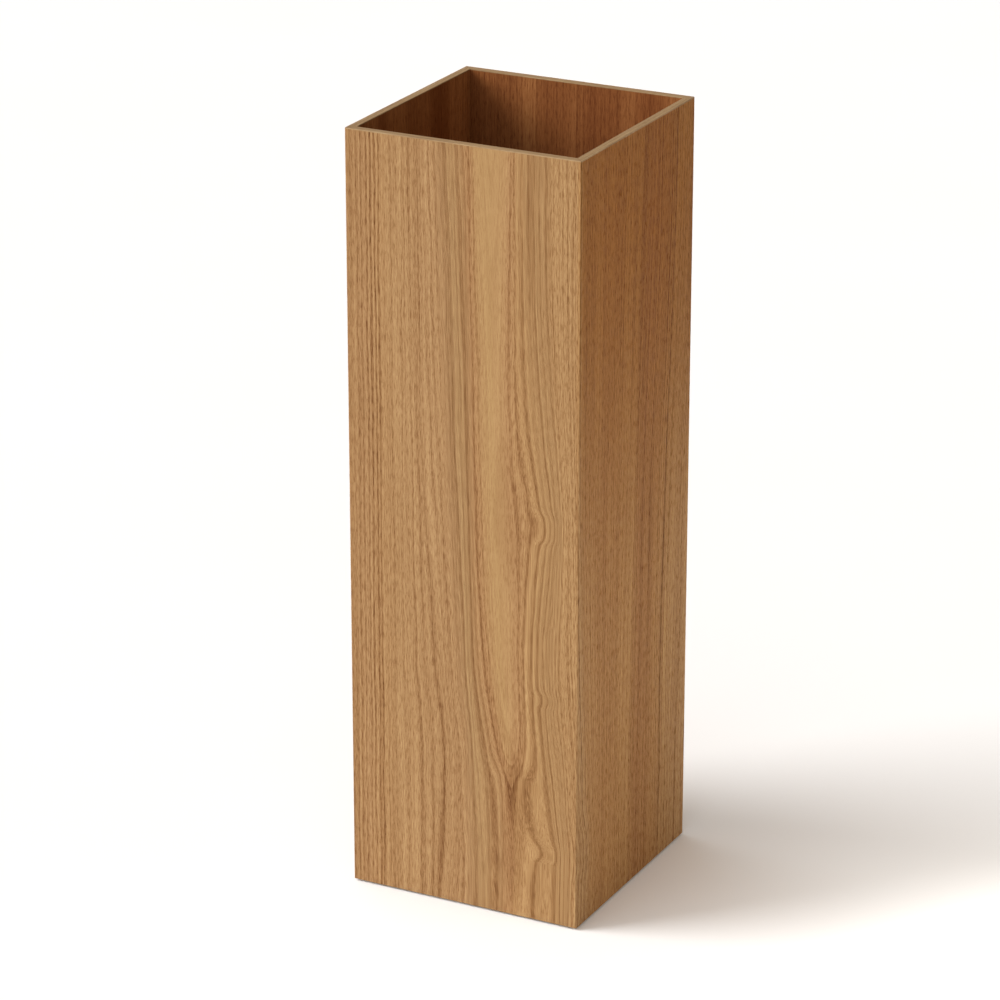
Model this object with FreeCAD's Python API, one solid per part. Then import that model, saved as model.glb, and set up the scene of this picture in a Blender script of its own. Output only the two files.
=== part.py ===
import FreeCAD, Part
import os

# Square umbrella stand: a tall open box folded from a thin veneered board, with a loose drip tray inside.
#
# Each wall is a sandwich: a core board, an outer veneer and an inner lining. The outer veneer is one sheet
# that wraps three folded corners and meets itself at the back left corner. Cores and linings are cut into
# four by the fold grooves, so they meet in mitres. A thin edge band caps each wall. The base board sits in
# a groove in the walls, over four glued corner blocks, and each block carries a screwed rubber foot.
#
# Frame: millimetres, +Z up, the origin on the floor under the middle of the box. The front faces -Y.

# ---- Driving dimensions ----
WIDTH = 160.0                 # the box is square in plan
HEIGHT = 505.0                # floor to rim
FLOOR_GAP = 1.5               # the walls hang this far above the floor, on the feet
VENEER = 0.5                  # outer wood sheet
CORE = 4.5                    # core board of a wall
LINING = 0.5                  # inner wood sheet
EDGE_BAND = 0.6               # thickness of the band along each top edge
FOLD_RADIUS = 0.8             # outside radius of the veneer at a folded corner
ARRIS = 0.25                  # rounding that a sanding block leaves on the rim and the lower edge
SEAM_GAP = 0.1                # hairline where the veneer's two ends meet

BASE_BOARD = 5.0              # plywood under the tray
BASE_FACING = 0.5             # its washable top sheet
GROOVE_DEPTH = 2.0            # how far the groove enters the core
BASE_SIDE_PLAY = 0.15         # glue room at each side of the base in its groove

BLOCK_SIDE = 26.0             # corner block in plan
BLOCK_HEIGHT = 14.0
BLOCK_CHAMFER = 9.0           # across its inner corner

FOOT_HEIGHT = 5.0
FOOT_TOP_RADIUS = 9.0
FOOT_SOLE_RADIUS = 7.8
FOOT_EDGE = 0.8               # rounding round the sole
FOOT_RECESS_RADIUS = 3.9      # sunk seat for washer and screw head
FOOT_RECESS_DEPTH = 3.0
FOOT_HOLE_RADIUS = 1.9

WASHER_RADIUS = 3.6
WASHER_HOLE_RADIUS = 1.85
WASHER_THICKNESS = 0.8

SCREW_RADIUS = 1.75           # 3.5 mm pan head wood screw
SCREW_LENGTH = 16.0
SCREW_POINT = 4.0
SCREW_HEAD_RADIUS = 3.0
SCREW_HEAD_HEIGHT = 1.8
SCREW_HEAD_EDGE = 0.7
SCREW_CROSS_LENGTH = 3.2
SCREW_CROSS_WIDTH = 0.75
SCREW_CROSS_DEPTH = 1.1
SCREW_PLAY = 0.05             # round the shank in its hole

TRAY_PLAY = 1.5               # between the tray's rim and each wall
TRAY_HEIGHT = 32.0
TRAY_WALL = 1.6
TRAY_FLOOR = 1.8
TRAY_FLANGE = 3.0             # width of the rim outside the wall
TRAY_SKIRT = 3.5              # drop of the rim's turned-down edge
TRAY_DRAFT = 2.0              # the wall leans out by this much from floor to rim
TRAY_CORNER = 8.0             # corner radius at the floor
TRAY_FLOOR_FILLET = 3.0
TRAY_RIB_COUNT = 7
TRAY_RIB_PITCH = 16.0
TRAY_RIB_LENGTH = 112.0
TRAY_RIB_WIDTH = 2.0
TRAY_RIB_HEIGHT = 3.0
TRAY_RIB_ROUND = 0.8

# ---- Worked out from those ----
HALF = WIDTH / 2
CORE_OUTER = HALF - VENEER
CORE_INNER = CORE_OUTER - CORE
WELL = CORE_INNER - LINING                    # half the clear width inside
CORE_CORNER = FOLD_RADIUS - VENEER            # keeps the core inside the folded veneer
BAND_BOTTOM = HEIGHT - EDGE_BAND
BLOCK_BOTTOM = FOOT_HEIGHT
BASE_BOTTOM = BLOCK_BOTTOM + BLOCK_HEIGHT
FACING_BOTTOM = BASE_BOTTOM + BASE_BOARD
BASE_TOP = FACING_BOTTOM + BASE_FACING
BASE_HALF = CORE_INNER + GROOVE_DEPTH - BASE_SIDE_PLAY
FOOT_PLACE = WELL - BLOCK_SIDE / 2            # foot centre from the middle, in X and in Y
WASHER_TOP = FOOT_RECESS_DEPTH
WASHER_BOTTOM = WASHER_TOP - WASHER_THICKNESS
SCREW_TOP = WASHER_BOTTOM + SCREW_LENGTH
TRAY_RIM_HALF = WELL - TRAY_PLAY
TRAY_TOP_HALF = TRAY_RIM_HALF - TRAY_FLANGE
TRAY_FLOOR_HALF = TRAY_TOP_HALF - TRAY_DRAFT
TRAY_TOP = BASE_TOP + TRAY_HEIGHT

SIDES = ["front", "right", "back", "left"]    # anticlockwise from -Y, a quarter turn apart
CORNERS = {
    "front_left": (-1, -1),
    "front_right": (1, -1),
    "back_right": (1, 1),
    "back_left": (-1, 1),
}
QUARTER_TURN = 90.0
CENTRE = FreeCAD.Vector(0, 0, 0)
UP = FreeCAD.Vector(0, 0, 1)


# ---- Shapes that several pieces share ----
def cylinder(radius, bottom, top, x=0.0, y=0.0):
    return Part.makeCylinder(radius, top - bottom, FreeCAD.Vector(x, y, bottom))


def square_prism(half, bottom, top):
    corner = FreeCAD.Vector(-half, -half, bottom)
    return Part.makeBox(2 * half, 2 * half, top - bottom, corner)


def square_outline(half, radius, level):
    """A square with rounded corners, as one wire, at one level."""
    flat = half - radius                      # half of each straight side
    middle = flat + radius * 0.5 ** 0.5       # both coordinates of an arc's middle point
    edges = []
    for turn in range(4):
        side = Part.LineSegment(
            FreeCAD.Vector(-flat, -half, level), FreeCAD.Vector(flat, -half, level)
        )
        bend = Part.Arc(
            FreeCAD.Vector(flat, -half, level),
            FreeCAD.Vector(middle, -middle, level),
            FreeCAD.Vector(half, -flat, level),
        )
        for curve in (side, bend):
            edge = curve.toShape()
            edge.rotate(CENTRE, UP, turn * QUARTER_TURN)
            edges.append(edge)
    return Part.Wire(edges)


def rounded_prism(half, radius, bottom, top):
    face = Part.Face(square_outline(half, radius, bottom))
    return face.extrude(FreeCAD.Vector(0, 0, top - bottom))


def edges_at(shape, level, least_reach=0.0):
    """The edges that lie flat at a level, at least so far from the middle in X or Y."""
    found = []
    for edge in shape.Edges:
        box = edge.BoundBox
        reach = max(abs(box.XMin), abs(box.XMax), abs(box.YMin), abs(box.YMax))
        if abs(box.ZMin - level) < 1e-4 and abs(box.ZMax - level) < 1e-4 and reach >= least_reach:
            found.append(edge)
    return found


def side_wedge(turn):
    """The quarter of the plan that belongs to one wall, bounded by the two mitre planes."""
    reach = WIDTH
    corners = [(0, 0), (-reach, -reach), (reach, -reach), (0, 0)]
    outline = Part.makePolygon([FreeCAD.Vector(x, y, -1) for x, y in corners])
    wedge = Part.Face(outline).extrude(FreeCAD.Vector(0, 0, HEIGHT + 2))
    wedge.rotate(CENTRE, UP, turn * QUARTER_TURN)
    return wedge


def mitred(ring):
    """A ring that runs all round the box, cut into its four walls."""
    return {side: ring.common(side_wedge(turn)) for turn, side in enumerate(SIDES)}


def base_groove():
    return square_prism(CORE_INNER + GROOVE_DEPTH, BASE_BOTTOM, BASE_TOP)


# ---- Walls ----
def outer_veneer():
    """One sheet round all four walls, folded at three corners and meeting itself at the fourth."""
    sheet = rounded_prism(HALF, FOLD_RADIUS, FLOOR_GAP, BAND_BOTTOM)
    sheet = sheet.makeFillet(ARRIS, edges_at(sheet, FLOOR_GAP))
    sheet = sheet.cut(rounded_prism(CORE_OUTER, CORE_CORNER, 0, HEIGHT))
    seam = Part.makeBox(WIDTH, SEAM_GAP, HEIGHT, FreeCAD.Vector(0, -SEAM_GAP / 2, 0))
    seam.rotate(CENTRE, UP, QUARTER_TURN * 1.5)
    return sheet.cut(seam)


def core_boards():
    ring = rounded_prism(CORE_OUTER, CORE_CORNER, FLOOR_GAP, BAND_BOTTOM)
    ring = ring.cut(square_prism(CORE_INNER, 0, HEIGHT))
    return mitred(ring.cut(base_groove()))


def linings():
    """The groove cuts each lining in two: the wall of the well, and a strip under the base."""
    ring = square_prism(CORE_INNER, FLOOR_GAP, BAND_BOTTOM)
    ring = ring.cut(square_prism(WELL, 0, HEIGHT))
    return mitred(ring.cut(base_groove()))


def edge_bands():
    cap = rounded_prism(HALF, FOLD_RADIUS, BAND_BOTTOM, HEIGHT)
    ring = cap.cut(square_prism(WELL, 0, HEIGHT + 1))
    return mitred(ring.makeFillet(ARRIS, edges_at(ring, HEIGHT)))


# ---- Base ----
def base_board():
    return square_prism(BASE_HALF, BASE_BOTTOM, FACING_BOTTOM)


def base_facing():
    return square_prism(BASE_HALF, FACING_BOTTOM, BASE_TOP)


def corner_block(x_side, y_side):
    """Glued into the corner under the base, with a blind hole for the foot's screw."""
    near = WELL - BLOCK_SIDE
    cut = near + BLOCK_CHAMFER
    plan = [(WELL, WELL), (near, WELL), (near, cut), (cut, near), (WELL, near), (WELL, WELL)]
    outline = Part.makePolygon(
        [FreeCAD.Vector(x_side * x, y_side * y, BLOCK_BOTTOM) for x, y in plan]
    )
    block = Part.Face(outline).extrude(FreeCAD.Vector(0, 0, BLOCK_HEIGHT))
    hole = cylinder(
        SCREW_RADIUS + SCREW_PLAY,
        BLOCK_BOTTOM - 1,
        SCREW_TOP + SCREW_PLAY,
        x_side * FOOT_PLACE,
        y_side * FOOT_PLACE,
    )
    return block.cut(hole)


# ---- Feet, made at the middle and then moved ----
def foot():
    body = Part.makeCone(FOOT_SOLE_RADIUS, FOOT_TOP_RADIUS, FOOT_HEIGHT)
    body = body.makeFillet(FOOT_EDGE, edges_at(body, 0))
    body = body.cut(cylinder(FOOT_RECESS_RADIUS, -1, FOOT_RECESS_DEPTH))
    return body.cut(cylinder(FOOT_HOLE_RADIUS, -1, FOOT_HEIGHT + 1))


def washer():
    disc = cylinder(WASHER_RADIUS, WASHER_BOTTOM, WASHER_TOP)
    return disc.cut(cylinder(WASHER_HOLE_RADIUS, 0, FOOT_HEIGHT))


def screw():
    """Head down: the cross is cut from below, and the point is at the top."""
    head_bottom = WASHER_BOTTOM - SCREW_HEAD_HEIGHT
    head = cylinder(SCREW_HEAD_RADIUS, head_bottom, WASHER_BOTTOM)
    head = head.makeFillet(SCREW_HEAD_EDGE, edges_at(head, head_bottom))
    for length, width in (
        (SCREW_CROSS_LENGTH, SCREW_CROSS_WIDTH),
        (SCREW_CROSS_WIDTH, SCREW_CROSS_LENGTH),
    ):
        corner = FreeCAD.Vector(-length / 2, -width / 2, head_bottom)
        head = head.cut(Part.makeBox(length, width, SCREW_CROSS_DEPTH, corner))
    shank = cylinder(SCREW_RADIUS, WASHER_BOTTOM, SCREW_TOP - SCREW_POINT)
    point = Part.makeCone(
        SCREW_RADIUS, 0, SCREW_POINT, FreeCAD.Vector(0, 0, SCREW_TOP - SCREW_POINT)
    )
    return head.fuse([shank, point]).removeSplitter()


def at_corner(shape, x_side, y_side):
    moved = shape.copy()
    moved.translate(FreeCAD.Vector(x_side * FOOT_PLACE, y_side * FOOT_PLACE, 0))
    return moved


def at_every_corner(shape):
    return Part.makeCompound([at_corner(shape, x, y) for x, y in CORNERS.values()])


# ---- Drip tray ----
def tray_funnel(inset, bottom):
    """The tapering inside or outside of the tray's wall, from a level up to the tray's top."""
    rise = (bottom - BASE_TOP) / TRAY_HEIGHT
    lower_half = TRAY_FLOOR_HALF + TRAY_DRAFT * rise - inset
    lower_corner = TRAY_CORNER + TRAY_DRAFT * rise - inset
    lower = square_outline(lower_half, lower_corner, bottom)
    upper = square_outline(TRAY_TOP_HALF - inset, TRAY_CORNER + TRAY_DRAFT - inset, TRAY_TOP)
    return Part.makeLoft([lower, upper], True, True)


def tray_ribs():
    """Parallel ribs that hold umbrella tips out of the water."""
    bottom = BASE_TOP + TRAY_FLOOR / 2        # rooted in the floor
    top = BASE_TOP + TRAY_FLOOR + TRAY_RIB_HEIGHT
    first = -TRAY_RIB_PITCH * (TRAY_RIB_COUNT - 1) / 2
    ribs = []
    for number in range(TRAY_RIB_COUNT):
        corner = FreeCAD.Vector(
            -TRAY_RIB_LENGTH / 2, first + number * TRAY_RIB_PITCH - TRAY_RIB_WIDTH / 2, bottom
        )
        rib = Part.makeBox(TRAY_RIB_LENGTH, TRAY_RIB_WIDTH, top - bottom, corner)
        ribs.append(rib.makeFillet(TRAY_RIB_ROUND, edges_at(rib, top)))
    return ribs


def drip_tray():
    outside = tray_funnel(0, BASE_TOP)
    outside = outside.makeFillet(TRAY_FLOOR_FILLET, edges_at(outside, BASE_TOP))
    rim_corner = TRAY_CORNER + TRAY_DRAFT + TRAY_FLANGE
    flange = rounded_prism(TRAY_RIM_HALF, rim_corner, TRAY_TOP - TRAY_WALL, TRAY_TOP)
    skirt = rounded_prism(TRAY_RIM_HALF, rim_corner, TRAY_TOP - TRAY_SKIRT, TRAY_TOP)
    skirt = skirt.cut(
        rounded_prism(TRAY_RIM_HALF - TRAY_WALL, rim_corner - TRAY_WALL, BASE_TOP, HEIGHT)
    )
    floor_top = BASE_TOP + TRAY_FLOOR
    hollow = tray_funnel(TRAY_WALL, floor_top)
    inner_fillet = TRAY_FLOOR_FILLET - TRAY_WALL
    hollow = hollow.makeFillet(inner_fillet, edges_at(hollow, floor_top))
    shell = outside.fuse([flange, skirt]).cut(hollow)
    return shell.fuse(tray_ribs()).removeSplitter()


# ---- Every node ----
def nodes():
    made = {"outer_veneer": outer_veneer()}
    for name, walls in (
        ("core", core_boards()),
        ("lining", linings()),
        ("edge_band", edge_bands()),
    ):
        for side, wall in walls.items():
            made[f"{side}_{name}"] = wall
    made["base_board"] = base_board()
    made["base_facing"] = base_facing()
    for corner, (x_side, y_side) in CORNERS.items():
        made[f"corner_block_{corner}"] = corner_block(x_side, y_side)
        made[f"rubber_foot_{corner}"] = at_corner(foot(), x_side, y_side)
    made["foot_washers"] = at_every_corner(washer())
    made["foot_screws"] = at_every_corner(screw())
    made["drip_tray"] = drip_tray()
    return made


os.makedirs("parts", exist_ok=True)
for name, shape in nodes().items():
    shape.exportStep(f"parts/{name}.step")
    solids = shape.Solids
    volume = sum(solid.Volume for solid in solids)
    print(f"{name}: {len(solids)} solid(s), {volume:.0f} mm3, valid {shape.isValid()}")
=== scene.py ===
"""The looks of a square umbrella stand: its veneer, lining, tray and feet, with a plain studio round it.

Metres, +Z up, with the origin on the floor under the middle of the box. The front faces -Y.
"""

import math

import bmesh
import bpy
from mathutils import Matrix, Vector


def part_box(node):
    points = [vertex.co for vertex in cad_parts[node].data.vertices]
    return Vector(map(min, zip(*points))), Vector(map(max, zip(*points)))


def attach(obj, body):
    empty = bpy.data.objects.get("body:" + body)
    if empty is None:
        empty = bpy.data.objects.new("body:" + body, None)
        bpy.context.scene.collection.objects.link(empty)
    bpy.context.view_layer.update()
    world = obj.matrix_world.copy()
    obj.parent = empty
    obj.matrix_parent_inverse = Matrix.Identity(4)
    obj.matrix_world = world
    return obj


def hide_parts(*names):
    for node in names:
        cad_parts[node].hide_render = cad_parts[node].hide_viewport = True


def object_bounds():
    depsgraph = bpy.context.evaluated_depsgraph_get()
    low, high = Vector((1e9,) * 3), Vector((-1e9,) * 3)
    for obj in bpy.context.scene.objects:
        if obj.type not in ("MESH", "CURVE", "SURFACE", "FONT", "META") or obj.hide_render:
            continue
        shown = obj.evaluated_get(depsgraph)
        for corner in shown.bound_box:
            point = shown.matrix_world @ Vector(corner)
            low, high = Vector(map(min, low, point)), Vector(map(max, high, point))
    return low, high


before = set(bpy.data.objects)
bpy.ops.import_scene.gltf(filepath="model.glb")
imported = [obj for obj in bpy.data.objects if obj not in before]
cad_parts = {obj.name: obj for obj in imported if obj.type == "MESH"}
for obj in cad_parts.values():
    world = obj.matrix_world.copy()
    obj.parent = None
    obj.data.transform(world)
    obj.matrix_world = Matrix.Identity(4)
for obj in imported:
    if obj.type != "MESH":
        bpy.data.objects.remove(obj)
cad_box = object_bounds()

MM = 0.001

# ---- Sizes that the new pieces share with the frame ----
VENEER_LOW, VENEER_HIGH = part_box("outer_veneer")
TRAY_LOW, TRAY_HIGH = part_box("drip_tray")
FOOT_LOW, FOOT_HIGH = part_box("rubber_foot_front_left")
SIDE = VENEER_HIGH.x - VENEER_LOW.x          # the box's width and depth
HALF_SIDE = SIDE / 2
VENEER = 0.5 * MM
FOLD_RADIUS = 0.8 * MM
FOLD_SEGMENTS = 6
SEAM_GAP = 0.1 * MM
# The seam is at the back left corner, in the upright plane through the box's axis that is square to this.
SEAM_NORMAL = Vector((1, 1, 0)).normalized()

CORNERS = {
    "front_left": (-1, -1),
    "front_right": (1, -1),
    "back_right": (1, 1),
    "back_left": (-1, 1),
}
WALLS = ("front", "right", "back", "left")


# ---- Shader tools ----
def linear(hex_colour):
    """An sRGB hex colour as linear red, green, blue and alpha."""
    channels = [int(hex_colour[place:place + 2], 16) / 255 for place in (1, 3, 5)]
    return [
        value / 12.92 if value <= 0.04045 else ((value + 0.055) / 1.055) ** 2.4 for value in channels
    ] + [1.0]


def node_adder(tree):
    """Empties a node tree, and returns the function that adds a node to it."""
    tree.nodes.clear()

    def enabled(sockets):
        return [socket for socket in sockets if socket.enabled]

    def feed(socket, value):
        if isinstance(value, bpy.types.Node):
            value = enabled(value.outputs)[0]
        if isinstance(value, bpy.types.NodeSocket):
            tree.links.new(value, socket)
        elif isinstance(value, str):
            socket.default_value = linear(value)
        else:
            socket.default_value = value

    def add(kind, *inputs, stops=(), points=(), **settings):
        """Adds a node. Inputs go in order; settings are the node's own, or an input's by its name.

        A value may be a node, whose first output is taken. Stops fill a colour ramp, and points a curve.
        """
        node = tree.nodes.new("ShaderNode" + kind)
        own = {name: value for name, value in settings.items() if name in node.bl_rna.properties}
        for name, value in own.items():
            setattr(node, name, value)
        for name, value in settings.items():
            if name not in own:
                feed(node.inputs[name.replace("_", " ")], value)
        for socket, value in zip(enabled(node.inputs), inputs):
            feed(socket, value)
        if stops:
            elements = node.color_ramp.elements
            for place, colour in stops[2:]:
                elements.new(place)
            for element, (place, colour) in zip(elements, stops):
                element.position = place
                element.color = linear(colour)
        if points:
            curve = node.mapping.curves[0]
            for place, value in points[2:]:
                curve.points.new(place, value)
            for point, (place, value) in zip(curve.points, points):
                point.location = (place, value)
            node.mapping.update()
        return node

    return add


def new_material(name):
    """An empty material, and the function that adds a node to it."""
    material = bpy.data.materials.new(name)
    material.use_nodes = True
    return material, node_adder(material.node_tree)


def finish_material(add, colour, roughness, height=None, relief=0.0, **shader_settings):
    """Ends a material: its principled shader, with relief in metres worked up from a 0 to 1 height."""
    shader = add("BsdfPrincipled", Base_Color=colour, Roughness=roughness, **shader_settings)
    if height is not None:
        bump = add("Bump", Strength=1.0, Distance=relief, Height=height)
        shader.id_data.links.new(bump.outputs[0], shader.inputs["Normal"])
    add("OutputMaterial", shader)


def place_in_mm(add):
    """The place on the object, in millimetres."""
    return add("VectorMath", add("TexCoord").outputs["Object"], Scale=1 / MM, operation="SCALE")


# ---- Wood ----
# The face veneer is one sheet. A place on it is millimetres across, counted from the front left corner and
# going right across the front, and millimetres along, up from the floor.
SHEET_SIDE = round(SIDE / MM, 3)
SHEET_START = -SHEET_SIDE
SHEET_END = 3 * SHEET_SIDE
SHEET_HEIGHT = round(cad_box[1][2] / MM, 3)

# The cathedral on the front: nested pointed arches round an axis.
# Lists by height give (share of the sheet's height, millimetres).
CATHEDRAL_AXIS = 100.0        # across, at the top edge
CATHEDRAL_BLUNTNESS = 5.0     # the tip radius of an arch
CATHEDRAL_REACH = 16.5        # how far to each side it bends the grain
CATHEDRAL_EDGE = 4.0          # how sharply the bending stops there
CATHEDRAL_CLOSING = [         # how far the arches have drawn in
    (0.0, 13.8), (0.1, 13.5), (0.18, 12.3), (0.2, 10.5), (0.225, 7.6), (0.257, 6.0), (0.337, 4.0),
    (0.5, 3.6), (0.67, 4.0), (0.83, 2.5), (1.0, 0.0),
]

# Where the grain is pushed aside. A push is felt between four places across: it grows from the first to the
# second, holds to the third and is gone at the fourth. Its size by height is positive to the right.
SWERVES = [
    # The whole cathedral leans to the right as it comes down.
    (22.0, 78.0, 150.0, 205.0, [
        (0.0, 13.0), (0.1, 13.5), (0.2, 13.5), (0.33, 9.0), (0.5, 5.0), (0.67, 2.0), (1.0, 0.0),
    ]),
    # The lines along its left flank draw in towards it.
    (50.0, 70.0, 80.0, 90.0, [
        (0.0, 0.0), (0.15, 2.0), (0.25, 3.5), (0.5, 4.5), (0.67, 4.0), (0.83, 2.5), (1.0, 0.0),
    ]),
    (60.0, 85.0, 95.0, 108.0, [
        (0.0, 7.5), (0.06, 7.0), (0.12, 5.5), (0.2, 3.5), (0.3, 0.8), (0.37, 0.0), (1.0, 0.0),
    ]),
    # On its right the grain swerves past two knots hidden in the log, with a tight kink at each.
    (109.0, 132.0, 139.0, 164.0, [
        (0.0, 12.0), (0.04, 11.5), (0.08, 12.0), (0.12, 9.5), (0.15, 6.5), (0.18, 4.0), (0.24, 0.0),
        (0.28, -1.0), (0.35, -0.5), (0.425, 3.5), (0.475, 6.5), (0.515, 8.5), (0.56, 9.0), (0.595, 8.0),
        (0.68, 4.5), (0.76, 2.0), (0.85, 0.5), (1.0, 0.0),
    ]),
    (124.0, 135.0, 139.0, 152.0, [
        (0.0, 0.0), (0.075, 0.0), (0.085, 1.0), (0.096, 4.5), (0.108, 2.0), (0.13, 0.0), (0.29, 0.0),
        (0.305, 2.2), (0.32, 0.0), (0.49, 0.0), (0.51, 1.0), (0.531, 4.5), (0.55, 2.0), (0.575, 0.0),
        (1.0, 0.0),
    ]),
    # The lower swerve goes on round the front right corner.
    (150.0, 166.0, 172.0, 196.0, [
        (0.0, 7.0), (0.06, 8.0), (0.09, 11.0), (0.14, 5.0), (0.2, 0.0), (1.0, 0.0),
    ]),
    # The right side's lines slope towards the front as they come down.
    (190.0, 250.0, 295.0, 350.0, [(0.0, -16.0), (0.3, -15.0), (0.55, -11.0), (0.8, -4.0), (1.0, 0.0)]),
]

# The slow wander and slight quiver of the grain: the size of a bend across and along, and its push.
WANDER_BEND = (45.0, 170.0)
WANDER_ON_FRONT = 0.5
WANDER_ELSEWHERE = 4.0
WANDER_GROWS = (60.0, 130.0)  # off the middle of the front
QUIVER_BEND = (7.0, 50.0)
QUIVER_PUSH = 1.6

# Reddish eyes of the next ring, where the knife just touched it: across, along, half width, half length, how
# far it slants across for each millimetre along, and darkening.
RING_EYES = [
    (109.5, 276.0, 8.5, 50.0, -0.05, 0.09),
    (116.5, 53.0, 9.0, 62.0, 0.02, 0.24),
]
# As shares of an eye's size: how far noise frays it, where it fades, and the soft line round it.
EYE_FRAY = 0.9
EYE_FADE = (0.5, 1.1)
EYE_RIM = 0.85
EYE_RIM_HALF_WIDTH = 0.14
EYE_RIM_DARKENING = 0.06
EYE_FRAY_STREAK = (4.0, 30.0)  # millimetres across and along

# The wood's own colour, by the place across the top edge where a grain line starts.
VENEER_TONES = [
    (-160, "#99734E"), (-120, "#A17C52"), (-70, "#976F4A"), (-30, "#9F794F"), (0, "#99744D"),
    (12, "#99744E"), (22, "#99744D"), (32, "#9B7750"), (64, "#9B7751"), (72, "#9D7A52"), (79, "#9B764F"),
    (84, "#98714B"), (88, "#9E7A51"), (92, "#9F7C52"), (100, "#A07D53"), (109, "#9F7B52"), (113, "#9D7750"),
    (119, "#9E7950"), (135, "#9C7850"), (158, "#9D7951"), (166, "#9A7349"), (200, "#986F44"),
    (245, "#9A7246"), (262, "#8F653D"), (284, "#966D42"), (302, "#987248"), (330, "#9C774F"),
    (400, "#A17E54"), (440, "#956D48"), (480, "#9C764F"),
]
# Past the front right corner the right side gets painted shade: a warmer, darker brown that deepens upwards.
SHADED_SIDE_TINT = (0.87, 0.66, 0.38, 1.0)
UNTINTED = (1.0, 1.0, 1.0, 1.0)
SHADED_SIDE_STARTS = (157.0, 163.0)  # across
SHADED_SIDE_DEEPENS = (0.3, 0.95)    # shares of the height
# The grain has more contrast there too.
SIDE_CONTRAST = 1.3
SIDE_CONTRAST_STARTS = (150.0, 170.0)

# Growth lines stronger than the rest: place across the top edge, half width, and darkening, which is negative
# for a pale line.
GROWTH_LINES = [
    (-132.0, 0.9, 0.14), (-96.0, 1.2, 0.12), (-52.0, 0.8, 0.15),
    (1.5, 0.8, 0.12), (4.5, 0.7, 0.16), (6.0, 0.6, -0.08), (7.4, 0.6, 0.18), (10.4, 0.7, 0.26),
    (12.2, 0.6, -0.08), (14.2, 0.7, 0.24), (15.7, 0.5, -0.10), (17.2, 0.7, 0.36), (18.7, 0.5, -0.14),
    (20.2, 0.6, 0.34), (21.4, 0.4, -0.10), (22.6, 0.6, 0.34), (24.3, 0.6, -0.12), (26.6, 0.5, 0.14),
    (31.0, 0.6, 0.12), (43.4, 0.7, 0.14), (48.0, 0.6, 0.14), (51.5, 0.6, 0.10), (57.0, 0.7, 0.05),
    (67.5, 1.0, 0.22), (70.2, 0.8, -0.06), (77.0, 1.1, 0.24), (79.6, 0.8, -0.06), (84.3, 1.6, 0.10),
    (114.8, 1.7, 0.15), (117.8, 0.7, -0.05), (120.6, 0.8, 0.21), (122.6, 0.6, -0.08), (124.8, 0.6, 0.15),
    (128.6, 0.6, 0.20), (130.4, 0.5, -0.07), (132.3, 0.6, 0.18), (136.5, 0.6, 0.22), (138.0, 0.4, -0.08),
    (145.0, 0.6, 0.14), (150.5, 0.6, 0.18), (156.0, 0.7, 0.22), (196.0, 0.9, 0.10), (222.0, 1.0, 0.12),
    (250.0, 1.0, 0.12), (263.0, 1.2, 0.14), (275.0, 0.9, 0.12), (296.0, 1.3, 0.32), (352.0, 1.2, 0.14),
    (372.0, 1.0, 0.12), (432.0, 1.3, 0.16), (455.0, 1.0, 0.12),
]
LINE_FADE = 1.5               # how many half widths a line takes to fade out
LINE_BREAK = (1.3, 11.0)      # the size of the pores that break it up

# Ring-porous wood: the size of its streaks across and along, and how much each kind darkens it.
BAND_STREAK, BAND_DARKENING = (9.0, 900.0), 0.05
LINE_STREAK, LINE_DARKENING = (1.6, 240.0), 0.14
FIBRE_STREAK, FIBRE_DARKENING = (0.55, 8.0), 0.14
PORE_STREAK, PORE_DARKENING = (0.75, 6.0), 0.23
RING_DARKENING = 0.15
PORE_EDGE = (0.51, 0.66)      # from sound wood to open pore, in the noise that scatters them
EARLY_PORES = 0.08            # how much likelier pores are in a ring's dark start
EARLY_WOOD = 0.55             # the share of a ring in which its dark start fades out
FAINTEST_RING = 0.15
RING_SPACING = 3.6
RING_DRIFT = 3.0              # how many rings the spacing drifts by
RING_DRIFT_STREAK = (16.0, 800.0)

# Off the cathedral's axis: the wide ring in the middle is calm, and further out the two sides' rings,
# which mirror each other at first, become each side's own.
CALM_ENDS = (6.0, 15.0)
CALM_SHARE = 0.35
MIRROR_ENDS = (16.0, 40.0)
MIRROR_SHIFT = 900.0          # how far apart along the grain the two sides' streaks are taken then

# Stain sinks deeper into darker grain: how bright it leaves pale wood, and how fast green and blue fade with
# the shade.
STAIN_BRIGHTNESS = 1.07
STAIN_GREEN = 1.35
STAIN_BLUE = 1.6

NOISE_MIDDLE = 0.5


def by_height(add, height, steps):
    """Millimetres that follow a list of steps by height."""
    most = max(abs(value) for share, value in steps)
    curve = add("FloatCurve", 1.0, height, points=[
        (share, 0.5 + 0.5 * value / most) for share, value in steps
    ])
    return add("MapRange", curve, 0.0, 1.0, -most, most)


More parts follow.
